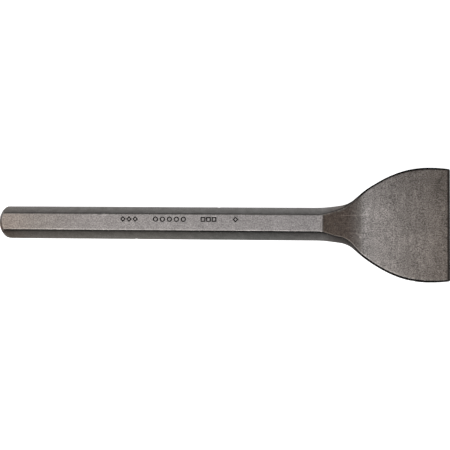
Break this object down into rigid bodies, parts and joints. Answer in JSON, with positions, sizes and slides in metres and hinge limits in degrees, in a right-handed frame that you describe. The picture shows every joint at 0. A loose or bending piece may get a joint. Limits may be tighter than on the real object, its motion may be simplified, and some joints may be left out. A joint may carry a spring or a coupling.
{
  "type": "brick bolster chisel",
  "caption": "One-piece forged steel bolster chisel: hexagonal shank with a crowned struck end, hollow neck and a wide flat blade with a ground edge, for cutting brick and block.",
  "frame": {"origin": "on the surface the tool lies on, under the middle of its length: the lower flat of the hexagon is at Z = 0", "axes": "+X along the tool from the struck end to the cutting edge, +Y across the blade, +Z square to the blade's broad face"},
  "size_m": [0.3048, 0.0762, 0.0191],
  "materials": {
    "struck_head": "as-forged steel with thin warm grey scale, slightly burnished on the crown",
    "shank_scale": "rolled bar with fine grey scale, matt satin, burnished along the corners",
    "neck_scale": "forged, brown-grey oxide film, satin, faint lines along the ramp",
    "blade_scale": "forged, fine pitted brown-grey scale, matt",
    "ground_edge": "ground bevel, fine lines across the edge, lightly oiled"
  },
  "bodies": {
    "root": {"striking_head": "struck_head", "hex_shank": "shank_scale", "neck": "neck_scale", "blade": "blade_scale", "cutting_edge": "ground_edge"}
  },
  "joints": []
}
